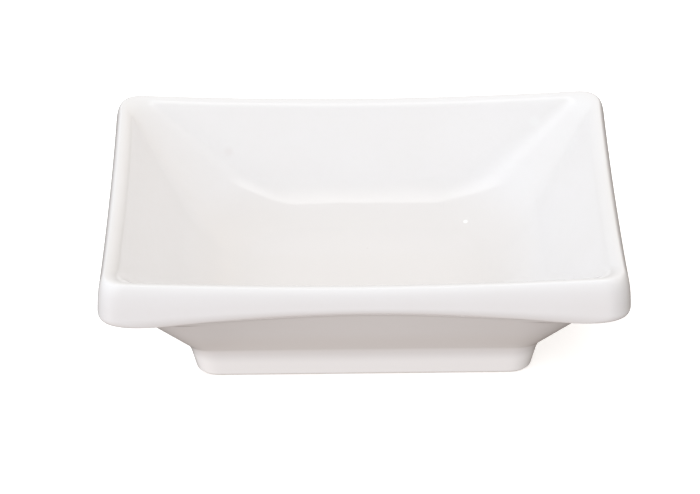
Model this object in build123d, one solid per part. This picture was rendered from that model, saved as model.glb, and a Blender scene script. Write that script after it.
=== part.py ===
from build123d import *
import os

os.makedirs("parts", exist_ok=True)

# ---------------------------------------------------------------------------
# Rectangular soy sauce dish in glazed white porcelain.  Millimetres, +Z up.
# +X runs along the long side, -Y is the front, z = 0 is the table under the
# foot.  Every surface is a stack of rounded-rectangle rings joined by straight
# bands and blends, so the dish keeps two planes of symmetry.
# ---------------------------------------------------------------------------

# rim
rim_length = 95.8          # outside of the lip at its widest, X
rim_width = 70.4           # outside of the lip at its widest, Y
rim_corner = 4.6           # plan corner of the lip
rim_bow_short = 0.45       # inward bow of the short sides
rim_bow_long = 0.25        # inward bow of the long sides
lip_width = 2.75           # from the widest point of the lip to the well
lip_lean = 0.5             # the face of the lip leans in by this towards its top
lip_top_mid = 26.8         # top of the lip at mid side
lip_top_corner = 28.0      # top of the lip at the raised corners
lip_low_mid = 22.1         # lower edge of the lip band at mid side
lip_low_corner = 19.1      # lower edge of the lip band at the corners

# flared outer wall
wall_tuck = 1.1            # the wall meets the lip this far inside its face
wall_top_mid = 21.3
wall_top_corner = 19.0
wall_corner = 19.0         # plan corner of the wall under the lip

# well
well_length = 57.0         # sharp outline of the well floor, X
well_width = 40.8          # sharp outline of the well floor, Y
well_floor = 9.1           # height of the well floor
well_corner = 17.0         # plan corner of the well where walls and floor would meet
well_floor_corner = 11.0   # plan corner of the flat floor
well_blend = 6.6           # run of the floor blend on the floor

# foot
foot_length = 61.8         # outside of the foot at the table, X
foot_width = 44.4          # outside of the foot at the table, Y
foot_flare = 1.4           # the foot widens by this on each side up to the crease
foot_height = 6.3          # height of the crease between foot and wall
foot_corner = 4.4          # plan corner of the foot
foot_in_length = 54.0      # inside of the foot at the table, X
foot_in_width = 36.6       # inside of the foot at the table, Y
foot_in_taper = 0.5        # the recess narrows by this on each side up to the base
foot_in_corner = 3.0
base_under = 4.2           # underside of the bowl, where the foot ring is joined on

# glaze
glaze = 0.25               # thickness of the fired glaze
glaze_line_out = 0.5       # bare porcelain up to this height outside
glaze_line_in = 1.0        # and up to this height inside the foot

# shape of the blends
HANDLE_PLAN = 0.66         # handle length of a plan corner, in corner radii
HANDLE_WELL = 0.56         # the same for the rounder corners inside the well
HANDLE_PROFILE = 0.60      # handle length of a profile blend, in cut lengths
CUT = {                    # part of each neighbouring band taken by a blend
    "foot_edge": (0.17, 0.09),
    "crease": ((foot_height - base_under) / foot_height, 0.075),
    "wall_top": (0.08, 0.50),
    "lip_low": (0.50, 0.22),
    "lip_out": (0.60, 0.50),
    "lip_in": (0.50, 0.066),
    "well": (0.33, 1.00),
}


def ring(a, b, r, z_mid, z_corner, bow_x=0.0, bow_y=0.0, handle=HANDLE_PLAN):
    """36 control points of a closed rounded rectangle of half sizes a, b: twelve cubic pieces."""
    arm = handle * r
    ly, lx = b - r, a - r
    hy, hx = min(arm, 0.85 * ly), min(arm, 0.85 * lx)
    c3, s3 = (ly / b) ** 2, 2 * ly / b ** 2
    c6, s6 = (lx / a) ** 2, 2 * lx / a ** 2
    apex = (4 * c3 + 3 * s3 * arm + 4 * c6 + 3 * s6 * arm) / 8
    dz = (z_corner - z_mid) / apex
    q = []
    for c, y in zip((0, 0, c3 - s3 * hy, c3, c3 + s3 * arm), (0, 0.5 * (ly - hy), ly - hy, ly, ly + arm)):
        q.append((a - bow_x * (1 - c), y, z_mid + dz * c))
    for c, x in zip((c6 + s6 * arm, c6, c6 - s6 * hx, 0, 0), (lx + arm, lx, lx - hx, 0.5 * (lx - hx), 0)):
        q.append((x, b - bow_y * (1 - c), z_mid + dz * c))
    half = q + [(-x, y, z) for x, y, z in q[-2::-1]]
    return half + [(x, -y, z) for x, y, z in half[-2:0:-1]]


def mix(p, q, t):
    """Ring part way from ring p to ring q."""
    return [tuple(u + (v - u) * t for u, v in zip(m, n)) for m, n in zip(p, q)]


def stack(rings, cuts):
    """Bands along the profile: two control rings for a straight band, four for a blend."""
    out, last = [], rings[0]
    for i in range(1, len(rings) - 1):
        v = rings[i]
        t0, t1 = mix(v, rings[i - 1], cuts[i - 1][0]), mix(v, rings[i + 1], cuts[i - 1][1])
        if gap(last, t0) > 1e-6:
            out.append([last, t0])
        out.append([t0, mix(t0, v, HANDLE_PROFILE), mix(t1, v, HANDLE_PROFILE), t1])
        last = t1
    if gap(last, rings[-1]) > 1e-6:
        out.append([last, rings[-1]])
    return out


def gap(p, q):
    return max(abs(u - v) for m, n in zip(p, q) for u, v in zip(m, n))


def skin(bands):
    """One face for every band and every piece round the dish."""
    faces = []
    for band in bands:
        for k in range(12):
            faces.append(Face.make_bezier_surface([[c[(3 * k + j) % 36] for j in range(4)] for c in band]))
    return faces


def outline(control):
    """Closed wire along a ring."""
    return Wire([Edge.make_bezier(*[control[(3 * k + j) % 36] for j in range(4)]) for k in range(12)])


def flat(outer, inner=None):
    """Flat face inside a level ring, or between two level rings."""
    return Face(outline(outer), [outline(inner)] if inner else [])


def closed(faces):
    return Solid(Shell(faces))


# outside of the glaze (t = 0) or of the porcelain under it (t = glaze)
def rings_of(t):
    a, b = rim_length / 2, rim_width / 2
    fa, fb = foot_length / 2, foot_width / 2
    wa, wb = well_length / 2, well_width / 2
    bow = (rim_bow_short, rim_bow_long)
    w = wall_tuck
    return {
        "foot_edge": ring(fa - t, fb - t, foot_corner - t, 0, 0),
        "crease": ring(fa + foot_flare - t, fb + foot_flare - t, foot_corner + 0.6 - t,
                       foot_height + 0.36 * t, foot_height + 0.36 * t),
        "wall_top": ring(a - w - 0.7 * t, b - w - 0.7 * t, wall_corner - 0.8 * t,
                         wall_top_mid + 0.7 * t, wall_top_corner + 0.8 * t, *bow),
        "lip_low": ring(a - t, b - t, rim_corner - t, lip_low_mid + 0.48 * t, lip_low_corner + 0.7 * t, *bow),
        "lip_out": ring(a - lip_lean - t, b - lip_lean - t, rim_corner - 0.2 - t, lip_top_mid - t, lip_top_corner - t, *bow),
        "lip_in": ring(a - lip_width + 0.47 * t, b - lip_width + 0.47 * t, rim_corner - 0.15 * lip_width + 0.3 * t,
                       lip_top_mid - t, lip_top_corner - t, *bow, HANDLE_WELL),
        "well": ring(wa + 0.47 * t, wb + 0.47 * t, well_corner + 0.47 * t, well_floor - t, well_floor - t, handle=HANDLE_WELL),
        "floor": ring(wa - well_blend, wb - well_blend, well_floor_corner, well_floor - t, well_floor - t, handle=HANDLE_WELL),
    }


PROFILE = ["crease", "wall_top", "lip_low", "lip_out", "lip_in", "well"]


def upper(rs, start):
    """Bands from a start ring on the foot up over the lip and down to the well floor."""
    return stack([start] + [rs[n] for n in PROFILE] + [rs["floor"]], [CUT[n] for n in PROFILE])


outer, body = rings_of(0.0), rings_of(glaze)


def on_foot(rs, z):
    """Ring on the outer side of the foot at height z."""
    return mix(rs["foot_edge"], rs["crease"], z / rs["crease"][0][2])


# the joint between bowl and foot ring is level, at the lower end of the crease blend
joint_out = mix(body["crease"], body["foot_edge"], CUT["crease"][0])
joint_z = joint_out[0][2]

# inside of the foot ring
fi_a, fi_b = foot_in_length / 2, foot_in_width / 2


def foot_inside(t):
    low = ring(fi_a - t, fi_b - t, foot_in_corner - 0.4 * t, 0, 0)
    top = ring(fi_a - foot_in_taper - t, fi_b - foot_in_taper - t, foot_in_corner + 0.3 - 0.4 * t, joint_z, joint_z)
    return low, top


in_low, in_top = foot_inside(0.0)

# ---------------------------------------------------------------------------
# bowl_body: floor, flared walls and lip of the porcelain bowl
# ---------------------------------------------------------------------------
bowl_bands = upper(body, joint_out)
bowl_body = closed([flat(joint_out)] + skin(bowl_bands) + [flat(body["floor"])])

# ---------------------------------------------------------------------------
# foot_ring: rectangular porcelain ring the dish stands on, bare where it meets
# the table
# ---------------------------------------------------------------------------
contact_out = mix(body["foot_edge"], in_low, CUT["foot_edge"][0])
contact_in = mix(in_low, body["foot_edge"], 0.18)
outside = stack([contact_out, body["foot_edge"], joint_out], [(1.0, CUT["foot_edge"][1])])
inside = stack([contact_in, in_low, in_top], [(1.0, 0.14)])
foot_ring = closed(
    [flat(contact_out, contact_in), flat(joint_out, in_top)] + skin(outside) + skin(inside))

# ---------------------------------------------------------------------------
# glaze_coat: fired glaze over the foot side, wall, lip and well
# ---------------------------------------------------------------------------
line_out, line_body = on_foot(outer, glaze_line_out), on_foot(body, glaze_line_out)
coat_hidden = [[line_body, joint_out]] + bowl_bands
glaze_coat = closed(
    [flat(line_out, line_body), flat(outer["floor"]), flat(body["floor"])]
    + skin(upper(outer, line_out)) + skin(coat_hidden))

# ---------------------------------------------------------------------------
# base_glaze: fired glaze in the recess inside the foot ring
# ---------------------------------------------------------------------------
gi_low, gi_top = foot_inside(glaze)
lower_edge = mix(in_low, in_top, glaze_line_in / joint_z)
lower_edge_in = mix(gi_low, gi_top, glaze_line_in / joint_z)
ceiling = [(x, y, joint_z - glaze) for x, y, z in gi_top]
middle = ring(fi_a - 3.0, fi_b - 3.0, 2.4, joint_z - glaze, joint_z - glaze)
base_bands = stack([lower_edge_in, ceiling, middle], [(0.28, 0.45)])
base_glaze = closed(
    [flat(lower_edge, lower_edge_in), flat(in_top), flat(middle)]
    + skin([[lower_edge, in_top]]) + skin(base_bands))

export_step(bowl_body, "parts/bowl_body.step")
export_step(foot_ring, "parts/foot_ring.step")
export_step(glaze_coat, "parts/glaze_coat.step")
export_step(base_glaze, "parts/base_glaze.step")

for name, part in (("bowl_body", bowl_body), ("foot_ring", foot_ring),
                   ("glaze_coat", glaze_coat), ("base_glaze", base_glaze)):
    bb = part.bounding_box()
    print(name, "valid", part.is_valid, "volume %.1f" % part.volume,
          "box", [round(v, 2) for v in (bb.min.X, bb.min.Y, bb.min.Z, bb.max.X, bb.max.Y, bb.max.Z)])
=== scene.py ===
import bpy
import math
import numpy as np
from mathutils import Matrix, Vector


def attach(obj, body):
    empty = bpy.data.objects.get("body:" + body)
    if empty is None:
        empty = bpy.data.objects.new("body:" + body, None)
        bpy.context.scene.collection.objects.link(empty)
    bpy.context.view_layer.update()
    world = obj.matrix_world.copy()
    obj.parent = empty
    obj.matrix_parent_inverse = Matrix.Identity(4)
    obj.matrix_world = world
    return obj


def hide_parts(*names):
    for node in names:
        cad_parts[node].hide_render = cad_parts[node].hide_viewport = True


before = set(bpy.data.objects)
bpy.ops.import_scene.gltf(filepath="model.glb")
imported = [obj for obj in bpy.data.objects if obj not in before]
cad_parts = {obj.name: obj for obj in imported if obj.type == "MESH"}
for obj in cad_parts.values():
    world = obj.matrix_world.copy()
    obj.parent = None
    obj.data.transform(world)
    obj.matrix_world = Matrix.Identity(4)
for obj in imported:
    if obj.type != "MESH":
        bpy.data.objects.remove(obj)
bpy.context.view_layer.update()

MM = 0.001

# ---------------------------------------------------------------------------
# The dish's rings, in millimetres: the same rings as the CAD model, sampled
# finely so that the gloss runs without a break over walls, blends and lip.
# ---------------------------------------------------------------------------
RIM_A, RIM_B, RIM_CORNER = 47.9, 35.2, 4.6
BOW = (0.45, 0.25)
LIP_WIDTH, LIP_LEAN = 2.75, 0.5
LIP_TOP, LIP_LOW = (26.8, 28.0), (22.1, 19.1)
WALL_TUCK, WALL_TOP, WALL_CORNER = 1.1, (21.3, 19.0), 19.0
WELL_A, WELL_B, WELL_FLOOR, WELL_CORNER = 28.5, 20.4, 9.1, 17.0
WELL_BLEND, WELL_FLOOR_CORNER = 6.6, 11.0
FOOT_A, FOOT_B, FOOT_FLARE, FOOT_H, FOOT_CORNER = 30.9, 22.2, 1.4, 6.3, 4.4
BASE_UNDER = 4.2
GLAZE, GLAZE_LINE = 0.25, 0.5
HANDLE_PLAN, HANDLE_WELL, HANDLE_PROFILE = 0.66, 0.56, 0.60
CUT = {
    "crease": ((FOOT_H - BASE_UNDER) / FOOT_H, 0.075),
    "wall_top": (0.08, 0.50),
    "lip_low": (0.50, 0.22),
    "lip_out": (0.60, 0.50),
    "lip_in": (0.50, 0.066),
    "well": (0.33, 1.00),
}
PROFILE = ["crease", "wall_top", "lip_low", "lip_out", "lip_in", "well"]


def ring(a, b, r, z_mid, z_corner, bow_x=0.0, bow_y=0.0, handle=HANDLE_PLAN):
    """36 control points of a closed rounded rectangle: twelve cubic pieces."""
    arm = handle * r
    ly, lx = b - r, a - r
    hy, hx = min(arm, 0.85 * ly), min(arm, 0.85 * lx)
    c3, s3 = (ly / b) ** 2, 2 * ly / b ** 2
    c6, s6 = (lx / a) ** 2, 2 * lx / a ** 2
    dz = (z_corner - z_mid) / ((4 * c3 + 3 * s3 * arm + 4 * c6 + 3 * s6 * arm) / 8)
    q = []
    for c, y in zip((0, 0, c3 - s3 * hy, c3, c3 + s3 * arm), (0, 0.5 * (ly - hy), ly - hy, ly, ly + arm)):
        q.append((a - bow_x * (1 - c), y, z_mid + dz * c))
    for c, x in zip((c6 + s6 * arm, c6, c6 - s6 * hx, 0, 0), (lx + arm, lx, lx - hx, 0.5 * (lx - hx), 0)):
        q.append((x, b - bow_y * (1 - c), z_mid + dz * c))
    q = np.array(q, float)
    half = np.concatenate([q, (q[::-1] * [-1, 1, 1])[1:]])
    return np.concatenate([half, (half * [1, -1, 1])[::-1][1:-1]])


def rings_of(t):
    """Rings of the glazed surface (t = 0) or of the porcelain a depth t under it."""
    a, b = RIM_A, RIM_B
    return {
        "foot_edge": ring(FOOT_A - t, FOOT_B - t, FOOT_CORNER - t, 0, 0),
        "crease": ring(FOOT_A + FOOT_FLARE - t, FOOT_B + FOOT_FLARE - t, FOOT_CORNER + 0.6 - t,
                       FOOT_H + 0.36 * t, FOOT_H + 0.36 * t),
        "wall_top": ring(a - WALL_TUCK - 0.7 * t, b - WALL_TUCK - 0.7 * t, WALL_CORNER - 0.8 * t,
                         WALL_TOP[0] + 0.7 * t, WALL_TOP[1] + 0.8 * t, *BOW),
        "lip_low": ring(a - t, b - t, RIM_CORNER - t, LIP_LOW[0] + 0.48 * t, LIP_LOW[1] + 0.7 * t, *BOW),
        "lip_out": ring(a - LIP_LEAN - t, b - LIP_LEAN - t, RIM_CORNER - 0.2 - t, LIP_TOP[0] - t, LIP_TOP[1] - t, *BOW),
        "lip_in": ring(a - LIP_WIDTH + 0.47 * t, b - LIP_WIDTH + 0.47 * t,
                       RIM_CORNER - 0.15 * LIP_WIDTH + 0.3 * t, LIP_TOP[0] - t, LIP_TOP[1] - t, *BOW, HANDLE_WELL),
        "well": ring(WELL_A + 0.47 * t, WELL_B + 0.47 * t, WELL_CORNER + 0.47 * t, WELL_FLOOR - t, WELL_FLOOR - t,
                     handle=HANDLE_WELL),
        "floor": ring(WELL_A - WELL_BLEND, WELL_B - WELL_BLEND, WELL_FLOOR_CORNER, WELL_FLOOR - t, WELL_FLOOR - t,
                      handle=HANDLE_WELL),
    }


def upper_bands(rs, start):
    """Straight bands (two control rings) and blends (four) from the foot over the lip to the floor."""
    stack = [start] + [rs[n] for n in PROFILE] + [rs["floor"]]
    out, last = [], start
    for i, name in enumerate(PROFILE, 1):
        v = stack[i]
        t0 = v + (stack[i - 1] - v) * CUT[name][0]
        t1 = v + (stack[i + 1] - v) * CUT[name][1]
        if np.abs(t0 - last).max() > 1e-6:
            out.append(np.array([last, t0]))
        out.append(np.array([t0, t0 + (v - t0) * HANDLE_PROFILE, t1 + (v - t1) * HANDLE_PROFILE, t1]))
        last = t1
    return out


def round_the_ring(counts):
    """Matrix from 36 control points to points round the ring, counts = points on (half short side, corner, half long side)."""
    rows = []
    per = list(counts) + list(counts)[::-1]
    for k in range(12):
        n = per[k % 6]
        for i in range(n):
            t = i / n
            w = np.zeros(36)
            for j, c in enumerate(((1 - t) ** 3, 3 * t * (1 - t) ** 2, 3 * t * t * (1 - t), t ** 3)):
                w[(3 * k + j) % 36] += c
            rows.append(w)
    return np.array(rows)


def sampled(bands, around, n_straight, n_blend):
    """Rows of points along the profile; each row is one loop."""
    rows = []
    for band in bands:
        n = n_straight if len(band) == 2 else n_blend
        for i in range(n):
            t = i / n
            w = (1 - t, t) if len(band) == 2 else ((1 - t) ** 3, 3 * t * (1 - t) ** 2, 3 * t * t * (1 - t), t ** 3)
            rows.append(around @ np.tensordot(np.array(w), band, 1))
    rows.append(around @ bands[-1][-1])
    return rows


def to_centre(rows, n):
    """Adds loops that close in on the middle of the last row, which is level."""
    last = rows[-1]
    mid = last.mean(axis=0)
    return rows + [mid + (last - mid) * (1 - i / n) for i in range(1, n)]


def closed_mesh(name, rows):
    """Closed mesh from loops of equal length, capped at both ends by a fan."""
    n = len(rows[0])
    pts = np.concatenate(rows + [rows[0].mean(axis=0)[None], rows[-1].mean(axis=0)[None]]) * MM
    faces = []
    for i in range(len(rows) - 1):
        for j in range(n):
            k = (j + 1) % n
            faces.append((i * n + j, i * n + k, (i + 1) * n + k, (i + 1) * n + j))
    first, last = len(pts) - 2, len(pts) - 1
    top = (len(rows) - 1) * n
    for j in range(n):
        k = (j + 1) % n
        faces.append((first, k, j))
        faces.append((last, top + j, top + k))
    me = bpy.data.meshes.new(name)
    me.from_pydata([tuple(p) for p in pts], [], faces)
    me.validate()
    me.polygons.foreach_set("use_smooth", [True] * len(me.polygons))
    me.update()
    ob = bpy.data.objects.new(name, me)
    bpy.context.scene.collection.objects.link(ob)
    return ob


outer, body = rings_of(0.0), rings_of(GLAZE)


def on_foot(rs, z):
    return rs["foot_edge"] + (rs["crease"] - rs["foot_edge"]) * (z / rs["crease"][0][2])


AROUND = round_the_ring((16, 26, 22))

# seen side of the glaze, from a rounded bead at the glaze line up over the lip to the well floor
bead = []
for i in range(6):
    phi = math.pi / 2 * (1 - i / 6)
    z = GLAZE_LINE + GLAZE * (1 - math.sin(phi))
    bead.append(AROUND @ (on_foot(body, z) + (on_foot(outer, z) - on_foot(body, z)) * math.cos(phi)))
seen = bead + sampled(upper_bands(outer, on_foot(outer, GLAZE_LINE + GLAZE)), AROUND, 8, 26)
seen = to_centre(seen, 10)
# hidden side, against the porcelain
hidden = sampled(upper_bands(body, on_foot(body, GLAZE_LINE)), AROUND, 4, 7)
hidden = to_centre(hidden, 5)
glaze_skin = closed_mesh("glaze_skin", hidden[:0:-1] + seen)
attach(glaze_skin, "root")
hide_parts("glaze_coat")


# ---------------------------------------------------------------------------
# Materials
# ---------------------------------------------------------------------------
class Nodes:
    """Small helper to lay out a node tree."""

    def __init__(self, name):
        self.mat = bpy.data.materials.new(name)
        self.mat.use_nodes = True
        self.t = self.mat.node_tree
        self.t.nodes.clear()
        self.out = self.add("ShaderNodeOutputMaterial")
        self.bsdf = self.add("ShaderNodeBsdfPrincipled")
        self.link(self.bsdf.outputs[0], self.out.inputs[0])
        self.co = self.add("ShaderNodeTexCoord").outputs["Object"]

    def add(self, kind, **props):
        n = self.t.nodes.new(kind)
        for k, v in props.items():
            setattr(n, k, v)
        return n

    def link(self, a, b):
        self.t.links.new(a, b)

    def put(self, socket, value):
        if hasattr(value, "is_output"):
            self.link(value, socket)
        else:
            socket.default_value = value

    def noise(self, per_m, detail=2.0, rough=0.5, w=0.0):
        n = self.add("ShaderNodeTexNoise", noise_dimensions="4D")
        self.link(self.co, n.inputs["Vector"])
        n.inputs["W"].default_value = w
        n.inputs["Scale"].default_value = per_m
        n.inputs["Detail"].default_value = detail
        n.inputs["Roughness"].default_value = rough
        return n.outputs[0]

    def spots(self, per_m, near, far, chance=1.0):
        """1 inside sparse round spots, 0 elsewhere."""
        v = self.add("ShaderNodeTexVoronoi", feature="F1")
        self.link(self.co, v.inputs["Vector"])
        v.inputs["Scale"].default_value = per_m
        m = self.remap(v.outputs["Distance"], near, far, 1.0, 0.0)
        s = self.add("ShaderNodeSeparateColor")
        self.link(v.outputs["Color"], s.inputs[0])
        c = self.math("LESS_THAN", s.outputs[0], chance)
        return self.math("MULTIPLY", m, c)

    def remap(self, v, a, b, c, d):
        n = self.add("ShaderNodeMapRange", interpolation_type="SMOOTHSTEP")
        self.put(n.inputs["Value"], v)
        for k, x in zip(("From Min", "From Max", "To Min", "To Max"), (a, b, c, d)):
            n.inputs[k].default_value = x
        return n.outputs[0]

    def math(self, op, a, b=None, c=None):
        n = self.add("ShaderNodeMath", operation=op)
        for i, x in enumerate((a, b, c)):
            if x is not None:
                self.put(n.inputs[i], x)
        return n.outputs[0]

    def mix(self, f, a, b):
        n = self.add("ShaderNodeMix", data_type="RGBA")
        self.put(n.inputs[0], f)
        self.put(n.inputs[6], a)
        self.put(n.inputs[7], b)
        return n.outputs[2]

    def dot(self, point, near, far):
        """1 at one point of the surface, 0 away from it (metres)."""
        d = self.add("ShaderNodeVectorMath", operation="DISTANCE")
        self.link(self.co, d.inputs[0])
        d.inputs[1].default_value = point
        return self.remap(d.outputs["Value"], near, far, 1.0, 0.0)

    def bump(self, height, distance, strength, normal=None):
        n = self.add("ShaderNodeBump")
        n.inputs["Strength"].default_value = strength
        n.inputs["Distance"].default_value = distance
        self.link(height, n.inputs["Height"])
        if normal is not None:
            self.link(normal, n.inputs["Normal"])
        return n.outputs[0]


def glaze_material():
    g = Nodes("glaze_white")
    # white body seen through a clear glaze: faint warm and cool clouds and a fine grain
    cloud = g.noise(46.0, 3.0, 0.55, 1.7)
    col = g.mix(g.remap(cloud, 0.32, 0.68, 0.0, 1.0), (0.787, 0.775, 0.774, 1), (0.798, 0.788, 0.792, 1))
    fine = g.noise(900.0, 2.0, 0.6, 4.1)
    col = g.mix(g.math("MULTIPLY", g.remap(fine, 0.45, 0.75, 0.0, 1.0), 0.25), col, (0.774, 0.760, 0.752, 1))
    # the glaze runs thin over the lip and towards the foot edge, and the white body shows more there; the two lighter
    # bands are also painted light: a painted highlight along the lip, painted bounce light on the lower foot
    xyz = g.add("ShaderNodeSeparateXYZ")
    g.link(g.co, xyz.inputs[0])
    # painted highlight: the lip's crest is made lighter, partly for thin glaze
    col = g.mix(g.remap(xyz.outputs[2], 0.0254, 0.0268, 0.0, 0.25), col, (0.840, 0.839, 0.836, 1))
    # painted bounce light: the foot is made much lighter towards its lower edge, partly for thin glaze
    col = g.mix(g.remap(xyz.outputs[2], 0.0032, 0.0062, 0.95, 0.0), col, (0.930, 0.922, 0.920, 1))
    # and it is darker and warmer on the floor of the well and under the wall: partly glaze pooling thicker there,
    # partly painted shade in the crease and under the overhanging wall
    pooling_and_shade = g.math("MULTIPLY", g.remap(xyz.outputs[2], 0.0060, 0.0080, 0.0, 1.0), g.remap(xyz.outputs[2], 0.0098, 0.0150, 1.0, 0.0))
    # painted shade: this mask darkens the crease, the underside of the wall and the well floor
    col = g.mix(g.math("MULTIPLY", pooling_and_shade, 0.8), col, (0.766, 0.744, 0.731, 1))
    # a few pale grey specks in the body under the glaze
    speck = g.spots(150.0, 0.012, 0.034, 0.16)
    col = g.mix(g.math("MULTIPLY", speck, 0.30), col, (0.58, 0.54, 0.49, 1))
    # single marks: a painted glint, a small white spot on the floor of the well that stands in for the light caught by
    # a glaze bubble; a faint stain on its back wall; a painted highlight, a lighter spot on the back wall near its
    # right corner
    # painted glint: white spot on the well floor
    col = g.mix(g.math("MULTIPLY", g.dot((0.02006, 0.01511, 0.00979), 0.00025, 0.00060), 0.9), col, (0.95, 0.95, 0.94, 1))
    col = g.mix(g.math("MULTIPLY", g.dot((-0.0257, 0.0268, 0.0191), 0.0002, 0.0014), 0.5), col, (0.745, 0.715, 0.710, 1))
    # painted highlight: lighter spot on the back wall
    col = g.mix(g.math("MULTIPLY", g.dot((0.0339, 0.0296, 0.0235), 0.0003, 0.0016), 0.6), col, (0.82, 0.82, 0.82, 1))
    g.link(col, g.bsdf.inputs["Base Color"])
    # gloss, slightly uneven
    rough = g.remap(g.noise(60.0, 3.0, 0.6, 9.3), 0.3, 0.7, 0.04, 0.08)
    g.link(rough, g.bsdf.inputs["Roughness"])
    g.bsdf.inputs["IOR"].default_value = 1.52
    # slow waves of the poured glaze, fine orange peel, pinholes, the bubble
    n = g.bump(g.noise(70.0, 1.0, 0.4, 2.2), 0.00006, 0.35)
    n = g.bump(g.noise(420.0, 1.5, 0.5, 6.6), 0.000006, 0.30, n)
    pin = g.spots(115.0, 0.010, 0.030, 0.10)
    n = g.bump(g.math("SUBTRACT", 1.0, pin), 0.00004, 0.5, n)
    n = g.bump(g.dot((0.02006, 0.01511, 0.00979), 0.0, 0.0006), 0.0001, 0.5, n)
    g.link(n, g.bsdf.inputs["Normal"])
    return g.mat


def bare_material():
    g = Nodes("porcelain_bare")
    col = g.mix(g.remap(g.noise(160.0, 4.0, 0.6, 3.3), 0.35, 0.65, 0.0, 1.0), (0.72, 0.695, 0.655, 1), (0.78, 0.765, 0.735, 1))
    col = g.mix(g.math("MULTIPLY", g.spots(900.0, 0.05, 0.16, 0.12), 0.4), col, (0.50, 0.46, 0.41, 1))
    g.link(col, g.bsdf.inputs["Base Color"])
    g.link(g.remap(g.noise(700.0, 3.0, 0.6, 5.0), 0.3, 0.7, 0.55, 0.75), g.bsdf.inputs["Roughness"])
    g.bsdf.inputs["IOR"].default_value = 1.45
    g.link(g.bump(g.noise(5200.0, 3.0, 0.65, 8.0), 0.00003, 0.5), g.bsdf.inputs["Normal"])
    return g.mat


def floor_material():
    g = Nodes("floor_paper")
    col = g.mix(g.remap(g.noise(3.0, 2.0, 0.5, 0.4), 0.3, 0.7, 0.0, 1.0), (0.965, 0.965, 0.965, 1), (0.975, 0.975, 0.975, 1))
    g.link(col, g.bsdf.inputs["Base Color"])
    g.bsdf.inputs["Roughness"].default_value = 0.9
    g.bsdf.inputs["Specular IOR Level"].default_value = 0.0
    # lit a little more than the dish, so that the paper burns out to white
    g.bsdf.inputs["Emission Color"].default_value = (1, 1, 1, 1)
    g.bsdf.inputs["Emission Strength"].default_value = 0.45
    return g.mat


glaze_white, porcelain_bare = glaze_material(), bare_material()


def paint(ob, mat):
    if not ob.material_slots:
        ob.data.materials.append(mat)
    for s in ob.material_slots:
        s.material = mat


paint(glaze_skin, glaze_white)
paint(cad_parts["base_glaze"], glaze_white)
paint(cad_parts["bowl_body"], porcelain_bare)
paint(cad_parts["foot_ring"], porcelain_bare)

# ---------------------------------------------------------------------------
# Floor, light, camera
# ---------------------------------------------------------------------------
# white paper: a round floor that curves up into a backdrop far away on all sides
profile = [(r, 0.0) for r in (0.25, 1.0, 4.0)]
profile += [(4.0 + 1.5 * math.sin(math.radians(t)), 1.5 - 1.5 * math.cos(math.radians(t))) for t in range(10, 100, 10)] + [(5.5, 5.0)]
SEGMENTS = 96
points, faces = [(0, 0, 0)], []
for r, z in profile:
    points += [(r * math.cos(2 * math.pi * i / SEGMENTS), r * math.sin(2 * math.pi * i / SEGMENTS), z) for i in range(SEGMENTS)]
for i in range(SEGMENTS):
    k = (i + 1) % SEGMENTS
    faces.append((0, 1 + i, 1 + k))
    for j in range(len(profile) - 1):
        u, v = 1 + j * SEGMENTS, 1 + (j + 1) * SEGMENTS
        faces.append((u + i, v + i, v + k, u + k))
me = bpy.data.meshes.new("floor")
me.from_pydata(points, [], faces)
me.polygons.foreach_set("use_smooth", [True] * len(me.polygons))
floor = bpy.data.objects.new("floor", me)
bpy.context.scene.collection.objects.link(floor)
me.materials.append(floor_material())
# the floor catches the shadow, but stays out of the dish's bounce light and reflections
floor.visible_diffuse = floor.visible_glossy = floor.visible_shadow = floor.visible_transmission = False


def direction(azimuth, elevation):
    """Unit vector towards a light. Azimuth 0 is in front of the dish and 90 on its right."""
    az, el = math.radians(azimuth), math.radians(elevation)
    return Vector((math.sin(az) * math.cos(el), -math.cos(az) * math.cos(el), math.sin(el)))


# soft surround: rings of broad glows (elevation, narrowness, azimuth of the first one, strengths at equal steps of
# azimuth over the left, the front and the right, colour), bright on the left and in front, dim on the right and below
GLOWS = [
    (78, 14, -180, (0.20, 0.32, 0.25, 0.24), (1.0, 1.0, 1.0)),
    (52, 14, -180, (0.45, 0.46, 0.67, 0.59, 0.39, 0.45, 0.54, 0.40), (1.0, 1.0, 1.0)),
    (28, 16, -180, (0.31, 0.44, 0.73, 0.91, 0.96, 0.98, 0.74, 0.73, 0.75, 0.72, 0.53, 0.77), (1.0, 1.0, 1.0)),
    (2, 18, -180, (0.12, 0.53, 0.49, 0.54, 0.61, 0.61, 0.62, 0.22, 0.13, 0.12, 0.10, 0.11), (1.0, 0.99, 1.0)),
    (-25, 14, -180, (0.20, 0.16, 0.06, 0.79, 1.08, 0.08, 0.04, 0.10), (1.02, 0.97, 1.0)),
    (-60, 6, -135, (0.14, 0.98, 0.08, 0.08), (1.05, 0.95, 0.89)),
]
# the light is a little warmer on the right, behind and from below
WARM, WARM_TOWARDS = 0.036, (0.048, 0.038, -0.036)
# overhead panel in front: its far edge lies along azimuth and elevation of EDGE and is crisp
PANEL_EDGE, PANEL = (-15.0, 84.4), 1.85


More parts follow.
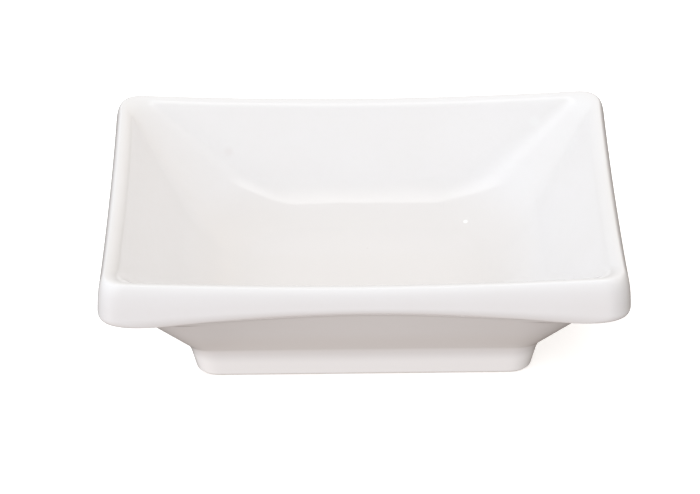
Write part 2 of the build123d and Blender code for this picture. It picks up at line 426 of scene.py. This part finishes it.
def studio():
    world = bpy.data.worlds.new("studio")
    world.use_nodes = True
    t = world.node_tree
    t.nodes.clear()
    at = t.nodes.new("ShaderNodeTexCoord").outputs["Generated"]

    def op(kind, name, *values):
        n = t.nodes.new(kind)
        n.operation = name
        for socket, v in zip(n.inputs, values):
            if hasattr(v, "is_output"):
                t.links.new(v, socket)
            else:
                socket.default_value = v
        return n.outputs["Value"] if name == "DOT_PRODUCT" else n.outputs[0]

    def ramp(v, a, b, c, d):
        n = t.nodes.new("ShaderNodeMapRange")
        n.interpolation_type = "SMOOTHSTEP"
        t.links.new(v, n.inputs["Value"])
        for k, x in zip(("From Min", "From Max", "To Min", "To Max"), (a, b, c, d)):
            n.inputs[k].default_value = x
        return n.outputs[0]

    def times(*values):
        out = values[0]
        for v in values[1:]:
            out = op("ShaderNodeMath", "MULTIPLY", out, v)
        return out

    az, el = math.radians(PANEL_EDGE[0]), math.radians(PANEL_EDGE[1])
    across = op("ShaderNodeVectorMath", "DOT_PRODUCT", at,
                Vector((math.sin(az), -math.cos(az), -1 / math.tan(el))).normalized())
    along = op("ShaderNodeVectorMath", "DOT_PRODUCT", at, Vector((-math.cos(az), -math.sin(az), 0)))
    above = op("ShaderNodeVectorMath", "DOT_PRODUCT", at, Vector((0, 0, 1)))
    panel = times(ramp(across, -0.012, 0.02, 0.0, 1.0), ramp(across, 0.02, 0.55, 1.0, 0.0),
                  ramp(along, -0.50, -0.34, 0.0, 1.0), ramp(along, 0.30, 0.58, 1.0, 0.0), ramp(above, 0.0, 0.3, 0.0, 1.0))
    light = op("ShaderNodeVectorMath", "MULTIPLY", panel, Vector((PANEL, PANEL, PANEL)))
    for elevation, narrow, first, strengths, colour in GLOWS:
        for i, strength in enumerate(strengths):
            d = op("ShaderNodeVectorMath", "DOT_PRODUCT", at, direction(first + 360 / len(strengths) * i, elevation))
            glow = op("ShaderNodeMath", "POWER", op("ShaderNodeMath", "MAXIMUM", d, 0.0), float(narrow))
            light = op("ShaderNodeVectorMath", "MULTIPLY_ADD", glow, Vector(colour) * strength, light)
    warm = op("ShaderNodeMath", "ADD", op("ShaderNodeVectorMath", "DOT_PRODUCT", at, Vector(WARM_TOWARDS)), WARM)
    tint = op("ShaderNodeVectorMath", "MULTIPLY_ADD", warm, Vector((1.0, 0.0, -1.1)), Vector((1, 1, 1)))
    light = op("ShaderNodeVectorMath", "MULTIPLY", tint, light)
    bg = t.nodes.new("ShaderNodeBackground")
    t.links.new(light, bg.inputs["Color"])
    out = t.nodes.new("ShaderNodeOutputWorld")
    t.links.new(bg.outputs[0], out.inputs["Surface"])
    return world


bpy.context.scene.world = studio()

# camera, solved from the outlines of rim, lip and foot in the photograph
ELEV, YAW, ROLL = math.radians(32.634), math.radians(0.207), math.radians(-0.496)
DIST, AIM_X, AIM_U, FOCAL_PX = 598.785, -2.34, 11.706, 3139.3
right, up, ahead = Vector((1, 0, 0)), Vector((0, math.sin(ELEV), math.cos(ELEV))), Vector((0, math.cos(ELEV), -math.sin(ELEV)))
spot = right * AIM_X + up * AIM_U - ahead * DIST
cam_right = right * math.cos(ROLL) + up * math.sin(ROLL)
cam_up = up * math.cos(ROLL) - right * math.sin(ROLL)
turn = Matrix.Rotation(-YAW, 3, "Z")
cols = [turn @ cam_right, turn @ cam_up, turn @ (-ahead)]
spot = (turn @ spot) * MM
cam = bpy.data.cameras.new("camera")
cam.sensor_fit = "HORIZONTAL"
cam.sensor_width = 36.0
cam.lens = FOCAL_PX * 36.0 / 700.0
cam.clip_start = 0.01
cam_ob = bpy.data.objects.new("camera", cam)
cam_ob.matrix_world = Matrix([(cols[0][i], cols[1][i], cols[2][i], spot[i]) for i in range(3)] + [(0, 0, 0, 1)])
bpy.context.scene.collection.objects.link(cam_ob)
bpy.context.scene.camera = cam_ob

view = bpy.context.scene.view_settings
view.view_transform = "Standard"
view.look = "None"
view.exposure = 0.0
view.gamma = 1.0
